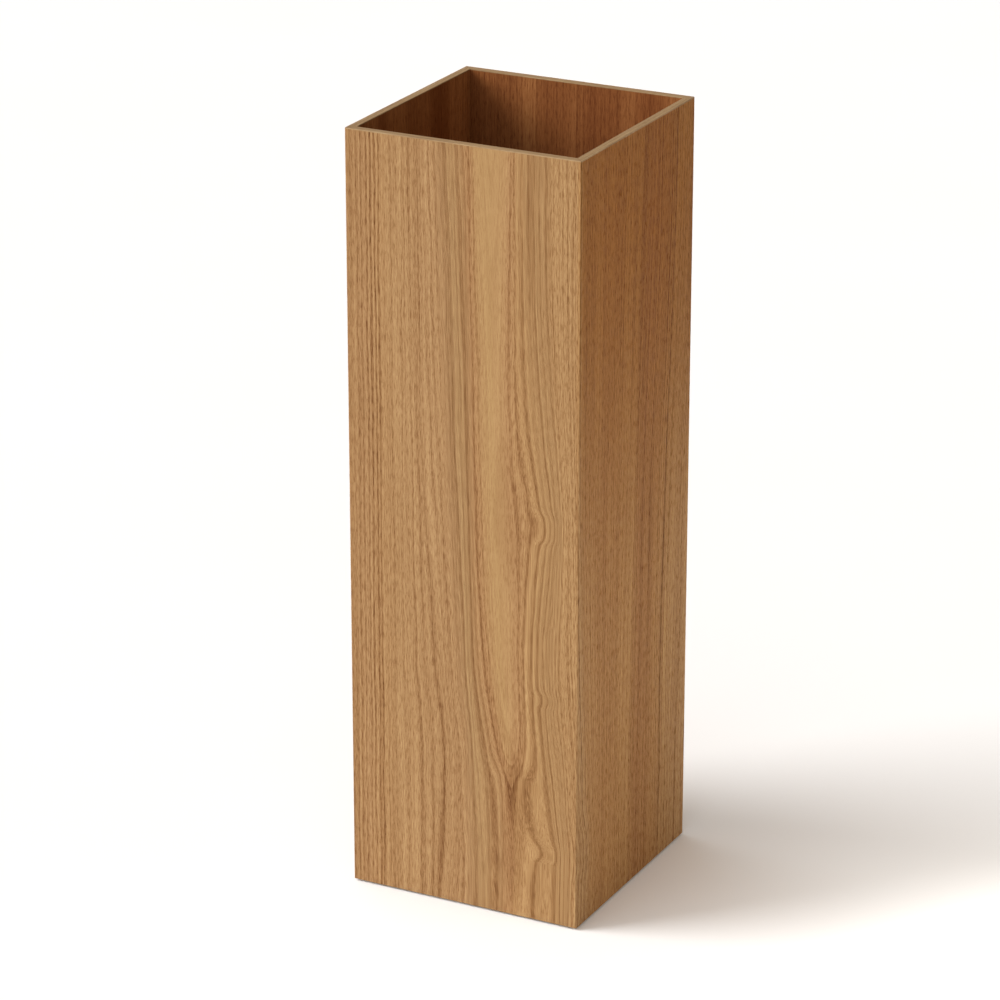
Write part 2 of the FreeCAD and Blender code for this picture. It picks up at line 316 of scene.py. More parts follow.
def push_grain(add, across, along, height):
    """Where across a place would be without the swerves, slow wander and slight quiver of the grain."""
    straight = across
    for rise_from, rise_to, fall_from, fall_to, steps in SWERVES:
        rise = add("MapRange", across, rise_from, rise_to, 0.0, 1.0, interpolation_type="SMOOTHSTEP")
        fall = add("MapRange", across, fall_from, fall_to, 1.0, 0.0, interpolation_type="SMOOTHSTEP")
        push = add("Math", by_height(add, height, steps), rise, operation="MULTIPLY")
        push = add("Math", push, fall, operation="MULTIPLY")
        straight = add("Math", straight, push, operation="SUBTRACT")
    off_front = add("Math", add("Math", across, SHEET_SIDE / 2, operation="SUBTRACT"), operation="ABSOLUTE")
    freedom = add("MapRange", off_front, *WANDER_GROWS, WANDER_ON_FRONT, WANDER_ELSEWHERE,
                  interpolation_type="SMOOTHSTEP")
    wander = grain_noise(add, across, along, *WANDER_BEND, Detail=1.0)
    wander = add("Math", wander, NOISE_MIDDLE, operation="SUBTRACT")
    quiver = grain_noise(add, across, along, *QUIVER_BEND, Detail=1.0)
    quiver = add("Math", quiver, NOISE_MIDDLE, operation="SUBTRACT")
    straight = add("Math", wander, freedom, straight, operation="MULTIPLY_ADD")
    return add("Math", quiver, QUIVER_PUSH, straight, operation="MULTIPLY_ADD")


def through_cathedral(add, across, height):
    """Where on the top edge the grain line through a place starts, up the cathedral's arches."""
    closing = add("Math", by_height(add, height, CATHEDRAL_CLOSING), 0.0, operation="MAXIMUM")
    off_axis = add("Math", across, CATHEDRAL_AXIS, operation="SUBTRACT")
    tip = CATHEDRAL_BLUNTNESS ** 2
    ring = add("Math", off_axis, off_axis, tip, operation="MULTIPLY_ADD")
    ring = add("Math", add("Math", ring, operation="SQRT"), closing, operation="ADD")
    start = add("Math", ring, ring, -tip, operation="MULTIPLY_ADD")
    start = add("Math", add("Math", start, 0.0, operation="MAXIMUM"), operation="SQRT")
    distance = add("Math", off_axis, operation="ABSOLUTE")
    farness = add("Math", distance, CATHEDRAL_REACH, operation="DIVIDE")
    farness = add("Math", add("Math", farness, CATHEDRAL_EDGE, operation="POWER"), 1.0, operation="ADD")
    bend = add("Math", add("Math", start, distance, operation="SUBTRACT"), farness, operation="DIVIDE")
    distance = add("Math", distance, bend, operation="ADD")
    side = add("Math", off_axis, operation="SIGN")
    return add("Math", side, distance, CATHEDRAL_AXIS, operation="MULTIPLY_ADD")


def ring_eyes(add, across, along):
    """The darkness of the reddish eyes and of the soft line round each."""
    fray = grain_noise(add, across, along, *EYE_FRAY_STREAK, Detail=3.0, Roughness=0.6)
    darkness = 0.0
    for middle_across, middle_along, half_width, half_length, slant, darkening in RING_EYES:
        below = add("Math", along, middle_along, operation="SUBTRACT")
        aside = add("Math", across, middle_across, operation="SUBTRACT")
        aside = add("Math", aside, add("Math", below, slant, operation="MULTIPLY"), operation="SUBTRACT")
        reach = add("CombineXYZ", add("Math", aside, half_width, operation="DIVIDE"),
                    add("Math", below, half_length, operation="DIVIDE"))
        reach = add("VectorMath", reach, operation="LENGTH").outputs["Value"]
        reach = add("Math", reach, EYE_FRAY * NOISE_MIDDLE, operation="SUBTRACT")
        reach = add("Math", fray, EYE_FRAY, reach, operation="MULTIPLY_ADD")
        inside = add("MapRange", reach, *EYE_FADE, darkening, 0.0, interpolation_type="SMOOTHSTEP")
        rim = add("Math", add("Math", reach, EYE_RIM, operation="SUBTRACT"), operation="ABSOLUTE")
        rim = add("MapRange", rim, 0.0, EYE_RIM_HALF_WIDTH, EYE_RIM_DARKENING, 0.0,
                  interpolation_type="SMOOTHSTEP")
        darkness = add("Math", darkness, add("Math", inside, rim, operation="ADD"), operation="ADD")
    return darkness


def growth_lines(add, start, across, along):
    """The darkness of the strong growth lines, each broken up by its open pores."""
    darkness = 0.0
    for place, half_width, darkening in GROWTH_LINES:
        off_line = add("Math", add("Math", start, place, operation="SUBTRACT"), operation="ABSOLUTE")
        line = add("MapRange", off_line, 0.0, half_width * LINE_FADE, darkening, 0.0,
                   interpolation_type="SMOOTHSTEP")
        darkness = add("Math", line, darkness, operation="ADD")
    broken = grain_noise(add, across, along, *LINE_BREAK, Detail=2.0, Roughness=0.65)
    return add("Math", darkness, add("MapRange", broken, 0.35, 0.65, 0.45, 1.35), operation="MULTIPLY")


def grain_noise(add, across, along, cell_across, cell_along, **settings):
    """Noise drawn out along the grain: its cell size is in millimetres."""
    place = add("CombineXYZ", add("Math", across, cell_across, operation="DIVIDE"),
                add("Math", along, cell_along, operation="DIVIDE"))
    return add("TexNoise", place, noise_dimensions="2D", Scale=1.0, **settings)


def annual_rings(add, ring, along, spacing):
    """How porous the wood is across its rings: up to 1 at a ring's dark start, falling to 0 at its end."""
    drift = grain_noise(add, ring, along, *RING_DRIFT_STREAK, Detail=2.0)
    count = add("Math", add("Math", ring, spacing, operation="DIVIDE"),
                add("Math", drift, RING_DRIFT, operation="MULTIPLY"), operation="ADD")
    inside = add("Math", count, operation="FRACT")
    porous = add("MapRange", inside, 0.0, EARLY_WOOD, 1.0, 0.0, interpolation_type="SMOOTHSTEP")
    strength = add("TexWhiteNoise", W=add("Math", count, operation="FLOOR"), noise_dimensions="1D")
    strength = add("MapRange", strength, 0.0, 1.0, FAINTEST_RING, 1.0)
    return add("Math", porous, strength, operation="MULTIPLY")


def wood_grain(add, across, ring, along, ring_spacing=RING_SPACING):
    """Darkness and pores of ring-porous wood. Across and ring differ only where the rings double back."""
    porous = annual_rings(add, ring, along, ring_spacing)
    bands = grain_noise(add, ring, along, *BAND_STREAK, Detail=2.0, Roughness=0.6)
    lines = grain_noise(add, ring, along, *LINE_STREAK, Detail=2.0, Roughness=0.6)
    fibres = grain_noise(add, across, along, *FIBRE_STREAK, Detail=1.0)
    specks = grain_noise(add, across, along, *PORE_STREAK, Detail=2.0, Roughness=0.7)
    specks = add("Math", porous, EARLY_PORES, specks, operation="MULTIPLY_ADD")
    pores = add("MapRange", specks, *PORE_EDGE, 0.0, 1.0, interpolation_type="SMOOTHSTEP")
    darkness = add("Math", porous, RING_DARKENING, operation="MULTIPLY")
    for noise, most in ((bands, BAND_DARKENING), (lines, LINE_DARKENING), (fibres, FIBRE_DARKENING)):
        layer = add("MapRange", noise, 0.25, 0.75, -most, most)
        darkness = add("Math", darkness, layer, operation="ADD")
    return add("Math", pores, PORE_DARKENING, darkness, operation="MULTIPLY_ADD"), pores


def stained(add, tone, darkness):
    """A tone after staining: what is darker is also redder."""
    shade = add("Math", STAIN_BRIGHTNESS, darkness, operation="SUBTRACT")
    green = add("Math", shade, STAIN_GREEN, operation="POWER")
    blue = add("Math", shade, STAIN_BLUE, operation="POWER")
    return add("VectorMath", tone, add("CombineXYZ", shade, green, blue), operation="MULTIPLY")


def lacquered_ash_veneer():
    """Stained ash veneer, matt lacquered with its pores open: yellow-brown, lined, with dark flecks."""
    material, add = new_material("lacquered_ash_veneer")
    sheet = add("SeparateXYZ", add("UVMap", uv_map="sheet"))
    across = add("Math", sheet.outputs["X"], 1 / MM, operation="MULTIPLY")
    along = add("Math", sheet.outputs["Y"], 1 / MM, operation="MULTIPLY")
    height = add("Math", along, SHEET_HEIGHT, operation="DIVIDE")
    straight = push_grain(add, across, along, height)
    start = through_cathedral(add, straight, height)
    off_axis = add("Math", start, CATHEDRAL_AXIS, operation="SUBTRACT")
    ring = add("Math", off_axis, operation="ABSOLUTE")

    own = add("MapRange", ring, *MIRROR_ENDS, 0.0, MIRROR_SHIFT, interpolation_type="SMOOTHSTEP")
    own = add("Math", own, add("Math", off_axis, operation="SIGN"), along, operation="MULTIPLY_ADD")
    darkness, pores = wood_grain(add, across, ring, own)
    calm = add("MapRange", ring, *CALM_ENDS, CALM_SHARE, 1.0)
    lines = growth_lines(add, start, across, along)
    darkness = add("Math", darkness, calm, lines, operation="MULTIPLY_ADD")
    darkness = add("Math", darkness, ring_eyes(add, across, along), operation="ADD")
    contrast = add("MapRange", across, *SIDE_CONTRAST_STARTS, 1.0, SIDE_CONTRAST)
    darkness = add("Math", darkness, contrast, operation="MULTIPLY")

    share = add("MapRange", start, SHEET_START, SHEET_END, 0.0, 1.0)
    tone = add("ValToRGB", share, stops=[
        ((place - SHEET_START) / (SHEET_END - SHEET_START), colour) for place, colour in VENEER_TONES
    ])
    # Painted shade on the right side, away from the window light: darker and redder towards the top.
    past_corner = add("MapRange", across, *SHADED_SIDE_STARTS, 0.0, 1.0)
    depth = add("MapRange", height, *SHADED_SIDE_DEEPENS, 0.0, 1.0, interpolation_type="SMOOTHSTEP")
    painted_side_shade = add("Math", past_corner, depth, operation="MULTIPLY")
    tint = add("Mix", painted_side_shade, UNTINTED, SHADED_SIDE_TINT, data_type="RGBA")
    tone = add("VectorMath", tone, tint, operation="MULTIPLY")
    pores = add("Math", pores, calm, operation="MULTIPLY")
    roughness = add("MapRange", pores, 0.0, 1.0, 0.5, 0.75)
    surface = add("Math", 1.0, pores, operation="SUBTRACT")
    finish_material(add, stained(add, tone, darkness), roughness, surface, 0.05 * MM,
                    IOR=1.5, Specular_IOR_Level=0.04)
    return material


# The lining's leaves: how far apart their grain is taken on facing walls, so that no two look alike, how much
# painted light pales the left wall's leaf, their slow sway, and the size of their paler and darker patches.
LEAF_SHIFT_X = 230.0
LEAF_SHIFT_Y = 510.0
LEFT_LEAF_PAINTED_LIGHT = 0.25
LINING_SWAY_BEND = (60.0, 180.0)
LINING_SWAY = 6.0
LINING_PATCH = (28.0, 500.0)
LINING_RING_SPACING = 4.2


def lacquered_ash_lining():
    """The same wood on the inside, straight grained and darker: a warm brown with fine upright lines."""
    material, add = new_material("lacquered_ash_lining")
    place = add("SeparateXYZ", place_in_mm(add))
    facing = add("SeparateXYZ", add("NewGeometry").outputs["Normal"])
    turned = add("Math", facing.outputs["X"], operation="ABSOLUTE")
    facing_y = add("Math", 1.0, turned, operation="SUBTRACT")
    on_x = add("Math", facing_y, place.outputs["X"], operation="MULTIPLY")
    across = add("Math", turned, place.outputs["Y"], on_x, operation="MULTIPLY_ADD")
    across = add("Math", facing.outputs["X"], LEAF_SHIFT_X, across, operation="MULTIPLY_ADD")
    across = add("Math", facing.outputs["Y"], LEAF_SHIFT_Y, across, operation="MULTIPLY_ADD")
    along = place.outputs["Z"]
    sway = grain_noise(add, across, along, *LINING_SWAY_BEND)
    across = add("Math", sway, LINING_SWAY, across, operation="MULTIPLY_ADD")
    darkness, pores = wood_grain(add, across, across, along, LINING_RING_SPACING)
    patches_and_painted_light = grain_noise(add, across, along, *LINING_PATCH, Detail=1.0)
    # The left wall's leaf, facing +X, is made paler by painted light; the same term makes the right wall's,
    # facing -X, darker.
    patches_and_painted_light = add("Math", facing.outputs["X"], LEFT_LEAF_PAINTED_LIGHT, patches_and_painted_light, operation="MULTIPLY_ADD")
    tone = add("ValToRGB", patches_and_painted_light, stops=[
        (0.2, "#7A4522"), (0.5, "#844F29"), (0.65, "#935D33"), (0.85, "#A87142"),
    ])
    roughness = add("MapRange", pores, 0.0, 1.0, 0.55, 0.75)
    height = add("Math", 1.0, pores, operation="SUBTRACT")
    finish_material(add, stained(add, tone, darkness), roughness, height, 0.05 * MM,
                    IOR=1.5, Specular_IOR_Level=0.1)
    return material


# The edge band: the size of its lines and flecks across and along, and the hairline at its mitres.
RIM_LINE = (0.9, 45.0)
RIM_FLECK = (0.5, 5.0)
MITRE_LINE = (0.1, 0.4)       # from its middle to where it has faded out
MITRE_DARKENING = 0.3


def ash_edge_band():
    """Thin solid ash along each top edge, sanded flush: pale tan, grain along the wall, a hairline mitre."""
    material, add = new_material("ash_edge_band")
    place = add("SeparateXYZ", place_in_mm(add))
    off_middle_x = add("Math", place.outputs["X"], operation="ABSOLUTE")
    off_middle_y = add("Math", place.outputs["Y"], operation="ABSOLUTE")
    off_mitre = add("Math", off_middle_y, off_middle_x, operation="SUBTRACT")
    runs_across = add("Math", off_mitre, 0.0, operation="GREATER_THAN")
    along = add("Mix", runs_across, place.outputs["Y"], place.outputs["X"], data_type="FLOAT")
    across = add("Mix", runs_across, place.outputs["X"], place.outputs["Y"], data_type="FLOAT")
    lines = grain_noise(add, across, along, *RIM_LINE, Detail=2.0)
    flecks = grain_noise(add, across, along, *RIM_FLECK, Detail=1.0)
    tone = add("ValToRGB", lines, stops=[(0.3, "#866A49"), (0.55, "#987A56"), (0.75, "#A18560")])
    off_mitre = add("Math", off_mitre, operation="ABSOLUTE")
    mitre = add("MapRange", off_mitre, *MITRE_LINE, MITRE_DARKENING, 0.0)
    darkness = add("MapRange", flecks, 0.3, 0.7, -0.05, 0.12)
    darkness = add("Math", darkness, mitre, operation="ADD")
    finish_material(add, stained(add, tone, darkness), add("MapRange", flecks, 0.3, 0.7, 0.5, 0.65),
                    lines, 0.03 * MM, IOR=1.5, Specular_IOR_Level=0.2)
    return material


def raw_fibreboard():
    """Medium density fibreboard, sawn and grooved: an even khaki brown with fine pale fibres."""
    material, add = new_material("raw_fibreboard")
    place = place_in_mm(add)
    fibres = add("TexNoise", place, Scale=1.1, Detail=4.0, Roughness=0.7)
    clumps = add("TexNoise", place, Scale=0.12, Detail=2.0)
    speckle = add("Mix", 0.35, fibres, clumps, data_type="FLOAT")
    colour = add("ValToRGB", speckle, stops=[(0.35, "#7C6142"), (0.5, "#937653"), (0.62, "#A78B66")])
    finish_material(add, colour, 0.85, fibres, 0.06 * MM, IOR=1.5, Specular_IOR_Level=0.3)
    return material


# Plywood: the size and push of the grain's slow bends, and the size of its waves and flecks.
PLY_SWAY_BEND = (40.0, 110.0)
PLY_SWAY = 26.0
PLY_WAVE = (5.0, 220.0)
PLY_FLECK = (0.6, 4.0)


def birch_plywood():
    """Birch plywood, sanded but bare: pale cream with slow waves of grain and short brown flecks."""
    material, add = new_material("birch_plywood")
    place = add("SeparateXYZ", place_in_mm(add))
    along = place.outputs["X"]
    sway = grain_noise(add, place.outputs["Y"], along, *PLY_SWAY_BEND, Detail=1.0)
    across = add("Math", sway, PLY_SWAY, place.outputs["Y"], operation="MULTIPLY_ADD")
    waves = grain_noise(add, across, along, *PLY_WAVE, Detail=3.0)
    flecks = grain_noise(add, across, along, *PLY_FLECK)
    tone = add("ValToRGB", waves, stops=[(0.35, "#C29F72"), (0.5, "#D3B68B"), (0.65, "#DCC29B")])
    darkness = add("MapRange", flecks, 0.62, 0.72, 0.06, 0.28)
    finish_material(add, stained(add, tone, darkness), 0.65, waves, 0.05 * MM, IOR=1.5)
    return material


PITH_BELOW = 61.0             # how far below the floor the log's pith runs
PINE_RING_SPACING = 3.1
PINE_WOBBLE = 9.0             # how far the rings stray from round


def sawn_pine():
    """Sawn pine: honey yellow, with amber rings that run through each block to its end grain."""
    material, add = new_material("sawn_pine")
    place = add("SeparateXYZ", place_in_mm(add))
    wobble = add("TexNoise", place_in_mm(add), Scale=0.03, Detail=2.0)
    up = add("Math", place.outputs["Z"], PITH_BELOW, operation="ADD")
    wobble = add("Math", wobble, PINE_WOBBLE, operation="MULTIPLY")
    aside = add("Math", place.outputs["Y"], wobble, operation="ADD")
    depth = add("VectorMath", add("CombineXYZ", aside, up), operation="LENGTH").outputs["Value"]
    inside = add("Math", add("Math", depth, PINE_RING_SPACING, operation="DIVIDE"), operation="FRACT")
    tone = add("ValToRGB", inside, stops=[
        (0.0, "#D9B377"), (0.5, "#D4AA6C"), (0.85, "#B57F43"), (0.93, "#A97238"), (1.0, "#D9B377"),
    ])
    saw = add("TexNoise", add("CombineXYZ", add("Math", place.outputs["X"], 1.7, operation="MULTIPLY")),
              Scale=1.0, Detail=2.0)
    rough = add("TexNoise", place_in_mm(add), Scale=1.5, Detail=3.0)
    darkness = add("MapRange", rough, 0.3, 0.7, 0.0, 0.14)
    finish_material(add, stained(add, tone, darkness), 0.75, saw, 0.08 * MM, IOR=1.5)
    return material


def melamine_film():
    """Brown melamine film on the base: wipe-clean, finely pearled, with a low sheen."""
    material, add = new_material("melamine_film")
    place = place_in_mm(add)
    pearl = add("TexVoronoi", place, Scale=1.1)
    cloud = add("TexNoise", place, Scale=0.05, Detail=3.0)
    colour = add("ValToRGB", cloud, stops=[(0.35, "#5F4129"), (0.65, "#6D4C31")])
    roughness = add("MapRange", cloud, 0.3, 0.7, 0.38, 0.5)
    finish_material(add, colour, roughness, pearl, 0.03 * MM, IOR=1.55)
    return material


def moulded_rubber():
    """Black rubber, moulded: nearly no gloss, a faint grey bloom."""
    material, add = new_material("moulded_rubber")
    place = place_in_mm(add)
    bloom = add("TexNoise", place, Scale=0.25, Detail=4.0)
    grit = add("TexNoise", place, Scale=3.0, Detail=2.0)
    colour = add("ValToRGB", bloom, stops=[(0.35, "#1B1B1B"), (0.65, "#2C2B2A")])
    roughness = add("MapRange", bloom, 0.3, 0.7, 0.72, 0.9)
    finish_material(add, colour, roughness, grit, 0.03 * MM, IOR=1.52)
    return material


def zinc_plated_steel():
    """Bright zinc on steel: silver with a faint straw and blue tint, tumbled dull in places."""
    material, add = new_material("zinc_plated_steel")
    place = place_in_mm(add)
    tint = add("TexNoise", place, Scale=0.3, Detail=2.0)
    scuffs = add("TexNoise", place, Scale=2.2, Detail=3.0)
    colour = add("ValToRGB", tint, stops=[(0.35, "#B9C0C8"), (0.5, "#C8CACA"), (0.65, "#CFC9B4")])
    roughness = add("MapRange", scuffs, 0.3, 0.7, 0.22, 0.42)
    finish_material(add, colour, roughness, scuffs, 0.01 * MM, Metallic=1.0)
    return material


def moulded_polypropylene():
    """Black polypropylene, moulded in a spark-eroded tool: an even satin grain and a soft gloss."""
    material, add = new_material("moulded_polypropylene")
    place = place_in_mm(add)
    # The real grain is about 0.08 mm; it is drawn at 0.4 mm so that it shows.
    grain = add("TexNoise", place, Scale=2.5, Detail=2.0, Roughness=0.6)
    flow = add("TexNoise", place, Scale=0.04, Detail=2.0)
    colour = add("ValToRGB", flow, stops=[(0.35, "#151515"), (0.65, "#1D1D1E")])
    roughness = add("MapRange", grain, 0.3, 0.7, 0.38, 0.55)
    finish_material(add, colour, roughness, grain, 0.04 * MM, IOR=1.49)
    return material


# ---- New pieces ----
def new_object(name, mesh, material):
    """An object of a finished bmesh, which is freed."""
    data = bpy.data.meshes.new(name)
    mesh.to_mesh(data)
    mesh.free()
    made = bpy.data.objects.new(name, data)
    bpy.context.scene.collection.objects.link(made)
    data.materials.append(material)
    return made


def new_piece(name, mesh, material, body, replaced):
    """An object that stands for nodes of the frame and moves with a body."""
    piece = new_object(name, mesh, material)
    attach(piece, body)
    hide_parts(*replaced)
    return piece


def sheet_place(point, side):
    """How far round the box a point lies, from the front left corner, going right across the front."""
    square = point / max(abs(point.x), abs(point.y)) * HALF_SIDE
    along_side = {"front": square.x, "right": square.y, "back": -square.x, "left": -square.y}[side]
    turns = {"front": 0, "right": 1, "back": 2, "left": -1}[side]
    return turns * SIDE + along_side + HALF_SIDE


def nearest_side(point):
    """The side of the box that a point is on."""
    if abs(point.y) >= abs(point.x):
        return "front" if point.y < 0 else "back"
    return "left" if point.x < 0 else "right"


def folded_veneer(material):
    """One sheet round the box, folded at three corners, with a hairline seam at the back left corner."""
    mesh = bmesh.new()
    height = VENEER_HIGH.z - VENEER_LOW.z
    bmesh.ops.create_cube(mesh, size=1)
    bmesh.ops.scale(mesh, vec=(SIDE, SIDE, height), verts=mesh.verts)
    bmesh.ops.translate(mesh, vec=(0, 0, VENEER_LOW.z + height / 2), verts=mesh.verts)
    uprights = [edge for edge in mesh.edges if abs(edge.verts[0].co.z - edge.verts[1].co.z) > height / 2]
    bmesh.ops.bevel(
        mesh, geom=uprights, offset=FOLD_RADIUS, segments=FOLD_SEGMENTS, profile=0.5,
        affect="EDGES", material=-1,
    )
    ends = [face for face in mesh.faces if abs(face.normal.z) > 0.5]
    bmesh.ops.delete(mesh, geom=ends, context="FACES_ONLY")
    cut_seam(mesh)
    bmesh.ops.solidify(mesh, geom=mesh.faces[:], thickness=VENEER)
    sheet = mesh.loops.layers.uv.new("sheet")
    for face in mesh.faces:
        side = nearest_side(face.calc_center_median())
        face.smooth = is_fold(face)
        for loop in face.loops:
            flat = Vector((loop.vert.co.x, loop.vert.co.y, 0))
            loop[sheet].uv = (sheet_place(flat, side), loop.vert.co.z)
    return new_piece("folded_veneer", mesh, material, "stand", ["outer_veneer"])


def is_fold(face):
    """A strip of a rounded corner, which is no flat side and no end of the sheet."""
    return abs(face.normal.z) < 0.5 and 0.02 < abs(face.normal.x) < 0.98


def cut_seam(mesh):
    """Opens the sheet at the back left corner, by two cuts beside the diagonal."""
    for offset in (-SEAM_GAP / 2, SEAM_GAP / 2):
        corner = [face for face in mesh.faces if is_at_seam(face.calc_center_median())]
        parts = set(corner)
        for face in corner:
            parts.update(face.edges)
            parts.update(face.verts)
        bmesh.ops.bisect_plane(mesh, geom=list(parts), plane_co=SEAM_NORMAL * offset, plane_no=SEAM_NORMAL)
    strip = [
        face for face in mesh.faces
        if is_at_seam(face.calc_center_median())
        and abs(face.calc_center_median().dot(SEAM_NORMAL)) < SEAM_GAP / 2
    ]
    bmesh.ops.delete(mesh, geom=strip, context="FACES")


def is_at_seam(point):
    """Whether a point is on the fold at the back left corner."""
    return point.x < -HALF_SIDE + FOLD_RADIUS and point.y > HALF_SIDE - FOLD_RADIUS


TRAY_FLAT = 60.0 * MM         # half of the flat part of the tray's sides, the same at every level
TRAY_WALL = 1.6 * MM
TRAY_FLOOR = 1.8 * MM
TRAY_FLANGE = 3.0 * MM
TRAY_SKIRT = 3.5 * MM
TRAY_DRAFT = 2.0 * MM
TRAY_RIM_HALF = TRAY_HIGH.x
TRAY_TOP_HALF = TRAY_RIM_HALF - TRAY_FLANGE
TRAY_FLOOR_HALF = TRAY_TOP_HALF - TRAY_DRAFT
CORNER_SEGMENTS = 10
RIB_COUNT = 7
RIB_PITCH = 16.0 * MM
RIB_SIZE = Vector((112.0, 2.0, 3.0)) * MM
RIB_ROUND = 0.8 * MM
RIB_SUNK = 0.2 * MM           # how far a rib reaches into the floor that it stands on
ROUND_SEGMENTS = 4
TRAY_ROUNDING = 2.0 * MM      # strips narrower than this are shaded smooth


def moulded_tray(material):
    """The drip tray: a closed moulding with a turned-down rim, and ribs that keep wet tips off its floor."""
    under_rim = TRAY_HIGH.z - TRAY_WALL
    skirt_end = TRAY_HIGH.z - TRAY_SKIRT
    floor_top = TRAY_LOW.z + TRAY_FLOOR
    # Half side, level and rounding, from the outside of the floor over the rim to the inside of the floor.
    profile = [
        (TRAY_FLOOR_HALF, TRAY_LOW.z, 3.0 * MM),
        (TRAY_TOP_HALF, under_rim, 0.5 * MM),
        (TRAY_RIM_HALF - TRAY_WALL, under_rim, 0.4 * MM),
        (TRAY_RIM_HALF - TRAY_WALL, skirt_end, 0.4 * MM),
        (TRAY_RIM_HALF, skirt_end, 0.5 * MM),
        (TRAY_RIM_HALF, TRAY_HIGH.z, 1.3 * MM),
        (TRAY_TOP_HALF - TRAY_WALL, TRAY_HIGH.z, 0.8 * MM),
        (TRAY_FLOOR_HALF - TRAY_WALL, floor_top, 1.6 * MM),
    ]
    mesh = bmesh.new()
    bmesh.ops.create_grid(mesh, x_segments=1, y_segments=1, size=TRAY_FLOOR_HALF)
    bmesh.ops.bevel(
        mesh, geom=mesh.verts[:], offset=TRAY_FLOOR_HALF - TRAY_FLAT, segments=CORNER_SEGMENTS, profile=0.5,
        affect="VERTICES", material=-1,
    )
    bmesh.ops.translate(mesh, vec=(0, 0, TRAY_LOW.z), verts=mesh.verts)
    loops = [mesh.edges[:]]
    for (old_half, _, _), (half, level, _) in zip(profile, profile[1:]):
        grown = bmesh.ops.extrude_edge_only(mesh, edges=loops[-1])["geom"]
        new_verts = {part for part in grown if isinstance(part, bmesh.types.BMVert)}
        loops.append([
            part for part in grown
            if isinstance(part, bmesh.types.BMEdge) and new_verts.issuperset(part.verts)
        ])
        spread = (half - TRAY_FLAT) / (old_half - TRAY_FLAT)
        for vert in new_verts:
            corner = Vector((math.copysign(TRAY_FLAT, vert.co.x), math.copysign(TRAY_FLAT, vert.co.y), level))
            vert.co = corner.lerp(Vector((vert.co.x, vert.co.y, level)), spread)
    bmesh.ops.edgeloop_fill(mesh, edges=loops[-1])
    bmesh.ops.recalc_face_normals(mesh, faces=mesh.faces)
    for loop, (_, _, rounding) in zip(loops, profile):
        bmesh.ops.bevel(
            mesh, geom=loop, offset=rounding, segments=ROUND_SEGMENTS, profile=0.5, affect="EDGES",
            material=-1,
        )
    for index in range(RIB_COUNT):
        add_rib(mesh, (index - (RIB_COUNT - 1) / 2) * RIB_PITCH, floor_top)
    soften(mesh, TRAY_ROUNDING)
    return new_piece("moulded_tray", mesh, material, "tray", ["drip_tray"])


def add_rib(mesh, across, floor_top):
    """One rounded rib along X, standing on the tray's floor."""
    verts = bmesh.ops.create_cube(mesh, size=1)["verts"]
    height = RIB_SIZE.z + RIB_SUNK
    bmesh.ops.scale(mesh, vec=(RIB_SIZE.x, RIB_SIZE.y, height), verts=verts)
    bmesh.ops.translate(mesh, vec=(0, across, floor_top - RIB_SUNK + height / 2), verts=verts)
    edges = {edge for vert in verts for edge in vert.link_edges}
    rounded = [edge for edge in edges if max(vert.co.z for vert in edge.verts) > floor_top]
    bmesh.ops.bevel(
        mesh, geom=rounded, offset=RIB_ROUND, segments=ROUND_SEGMENTS, profile=0.5, affect="EDGES",
        material=-1,
    )


def soften(mesh, widest, crease=math.radians(35)):
    """Shades strips narrower than the widest smooth, and leaves wide flats flat and creases sharp."""
    for face in mesh.faces:
        face.smooth = min(edge.calc_length() for edge in face.edges) < widest
    for edge in mesh.edges:
        edge.smooth = edge.calc_face_angle(0) < crease


FOOT_PLACE = abs(FOOT_LOW.x + FOOT_HIGH.x) / 2
FOOT_STEPS = 64
FOOT_WIDEST = 9.0 * MM        # wider than any of its faces, so that all are shaded smooth
# Radius and level in mm, from the screw's seat down, over the sole and its two grip rings, and up the side.
FOOT_PROFILE = [
    (1.9, 3.0), (3.9, 3.0), (3.9, 0.3), (4.2, 0.0), (4.8, 0.0), (5.0, 0.4), (5.4, 0.4), (5.6, 0.0),
    (6.1, 0.0), (6.3, 0.4), (6.7, 0.4), (6.9, 0.0), (7.15, 0.0), (7.6, 0.15), (7.95, 0.6), (8.95, 4.75),
    (8.7, 5.0), (1.9, 5.0),
]


def rubber_foot(corner, material):
    """A turned foot with two grip rings in its sole and a sunk seat for its screw and washer."""
    mesh = bmesh.new()
    verts = [mesh.verts.new((radius * MM, 0, level * MM)) for radius, level in FOOT_PROFILE]
    edges = [mesh.edges.new(pair) for pair in zip(verts, verts[1:] + verts[:1])]
    bmesh.ops.spin(
        mesh, geom=verts + edges, cent=(0, 0, 0), axis=(0, 0, 1), angle=math.tau, steps=FOOT_STEPS,
        use_merge=True,
    )
    bmesh.ops.recalc_face_normals(mesh, faces=mesh.faces)
    x, y = CORNERS[corner]
    bmesh.ops.translate(mesh, vec=(x * FOOT_PLACE, y * FOOT_PLACE, 0), verts=mesh.verts)
    soften(mesh, FOOT_WIDEST)
    return new_piece(
        f"turned_foot_{corner}", mesh, material, "stand", [f"rubber_foot_{corner}"],
    )


def dress(node_name, material):
    """Gives a carried-over node its finish."""
    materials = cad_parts[node_name].data.materials
    materials.clear()
    materials.append(material)


# ---- Stage, light and camera ----
FLOOR_HALF = 15.0


def build_stage():
    """A plain white floor."""
    material, add = new_material("white_studio_floor")
    mottle = add("TexNoise", add("TexCoord").outputs["Object"], Scale=3.0, Detail=2.0)
    colour = add("ValToRGB", mottle, stops=[(0.3, "#FAFAFA"), (0.7, "#FCFCFC")])
    finish_material(add, colour, 0.9)
    mesh = bmesh.new()
    bmesh.ops.create_grid(mesh, x_segments=1, y_segments=1, size=FLOOR_HALF)
    new_object("studio_floor", mesh, material)


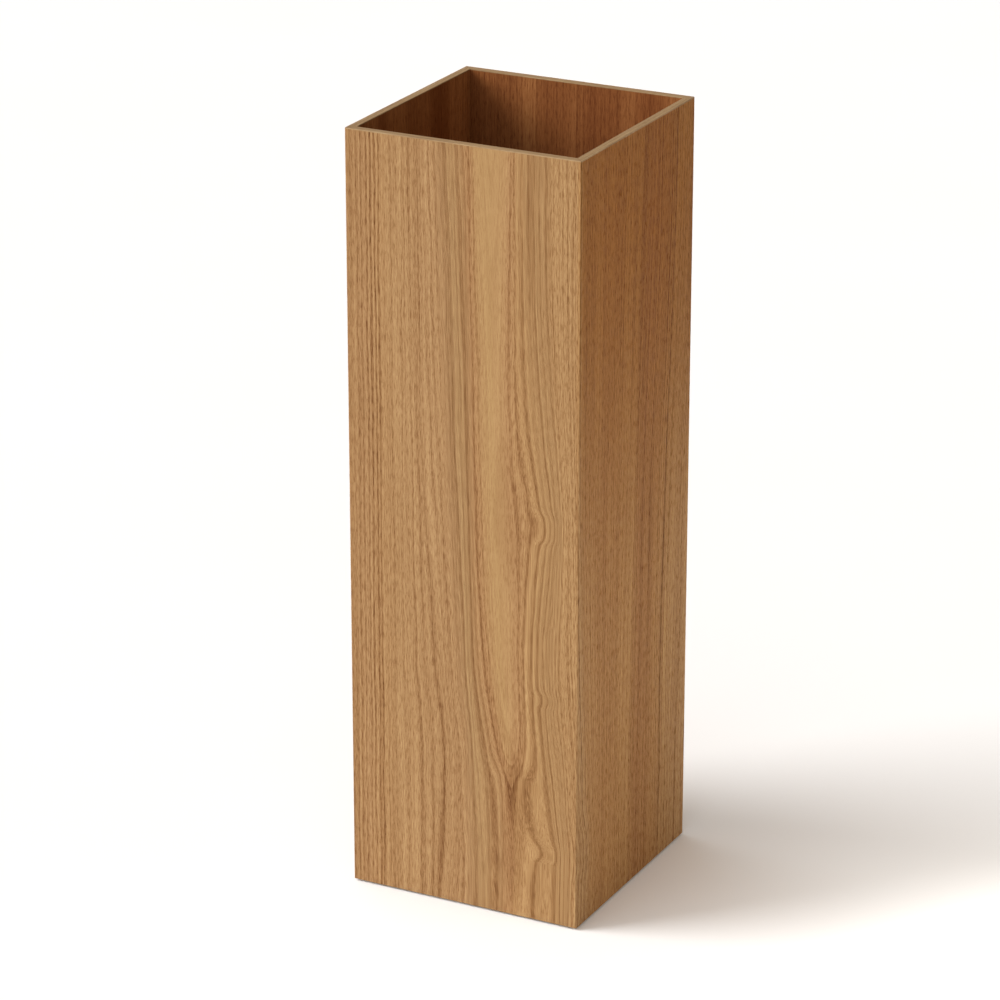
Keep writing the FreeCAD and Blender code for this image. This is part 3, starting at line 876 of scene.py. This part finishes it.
# The room is white at its bright side, front left, and dim and a little warm behind at the right.
ROOM_BRIGHT_SIDE = Vector((-0.74, -0.65, -0.15))
ROOM_BRIGHTNESS = 1.5
ROOM_TONES = [(0.0, "#463729"), (0.3, "#84735F"), (0.5, "#B8B7B6"), (1.0, "#FFFFFF")]
KEY_STRENGTH = 2.75
KEY_DIRECTION = Vector((0.82, 0.46, -0.58))
KEY_SOFTNESS = math.radians(34)
# A small low lamp brightens the lower half of the right side.
BOUNCE_PLACE = Vector((0.42, 0.0, 0.14))
BOUNCE_RADIUS = 0.08
BOUNCE_POWER = 1.45
BOUNCE_COLOUR = "#FFFAF2"


def new_lamp(name, kind):
    """A lamp of a kind, still at the origin."""
    data = bpy.data.lights.new(name, kind)
    lamp = bpy.data.objects.new(name, data)
    bpy.context.scene.collection.objects.link(lamp)
    return lamp


def build_light():
    """The room, a wide soft window light from the front left, and the low lamp."""
    world = bpy.data.worlds.new("studio_room")
    bpy.context.scene.world = world
    world.use_nodes = True
    add = node_adder(world.node_tree)
    direction = add("TexCoord").outputs["Generated"]
    side = add("VectorMath", direction, ROOM_BRIGHT_SIDE, operation="DOT_PRODUCT").outputs["Value"]
    colour = add("ValToRGB", add("MapRange", side, -1.0, 1.0), stops=ROOM_TONES)
    add("OutputWorld", add("Background", colour, ROOM_BRIGHTNESS))

    key = new_lamp("window_light", "SUN")
    key.data.energy = KEY_STRENGTH
    key.data.angle = KEY_SOFTNESS
    key.rotation_euler = KEY_DIRECTION.to_track_quat("-Z", "Y").to_euler()

    bounce = new_lamp("low_lamp", "POINT")
    bounce.data.shadow_soft_size = BOUNCE_RADIUS
    bounce.data.energy = BOUNCE_POWER
    bounce.data.color = linear(BOUNCE_COLOUR)[:3]
    bounce.location = BOUNCE_PLACE
    bounce.visible_camera = False


CAMERA_AZIMUTH = math.radians(27.13)
CAMERA_ELEVATION = math.radians(20.88)
CAMERA_DISTANCE = 2.730
CAMERA_LENS = 154.9           # mm
CAMERA_SENSOR = 36.0          # mm
CAMERA_SIGHT = 100.0          # how far it sees
CAMERA_AIM_LEFT = 13.4 * MM   # the view's middle passes this far left of the box's axis
CAMERA_AIM_HEIGHT = 250.2 * MM


def build_camera():
    """Looks a little down at the box, from the front and somewhat to its right."""
    data = bpy.data.cameras.new("camera")
    data.lens = CAMERA_LENS
    data.sensor_width = CAMERA_SENSOR
    data.clip_end = CAMERA_SIGHT
    camera = bpy.data.objects.new("camera", data)
    bpy.context.scene.collection.objects.link(camera)
    right = Vector((math.cos(CAMERA_AZIMUTH), math.sin(CAMERA_AZIMUTH), 0))
    back = Vector((
        math.sin(CAMERA_AZIMUTH) * math.cos(CAMERA_ELEVATION),
        -math.cos(CAMERA_AZIMUTH) * math.cos(CAMERA_ELEVATION),
        math.sin(CAMERA_ELEVATION),
    ))
    aim = Vector((0, 0, CAMERA_AIM_HEIGHT)) - right * CAMERA_AIM_LEFT
    camera.matrix_world = Matrix.Translation(aim + back * CAMERA_DISTANCE) @ (
        (-back).to_track_quat("-Z", "Y").to_matrix().to_4x4()
    )
    bpy.context.scene.camera = camera


# ---- The stand ----
folded_veneer(lacquered_ash_veneer())

wall_looks = {
    "core": raw_fibreboard(),
    "lining": lacquered_ash_lining(),
    "edge_band": ash_edge_band(),
}
for wall in WALLS:
    for part, look in wall_looks.items():
        dress(f"{wall}_{part}", look)

dress("base_board", birch_plywood())
dress("base_facing", melamine_film())
pine = sawn_pine()
rubber = moulded_rubber()
for corner in CORNERS:
    dress(f"corner_block_{corner}", pine)
    rubber_foot(corner, rubber)
steel = zinc_plated_steel()
dress("foot_washers", steel)
dress("foot_screws", steel)
moulded_tray(moulded_polypropylene())

build_stage()
build_light()
build_camera()
bpy.context.scene.view_settings.view_transform = "Standard"
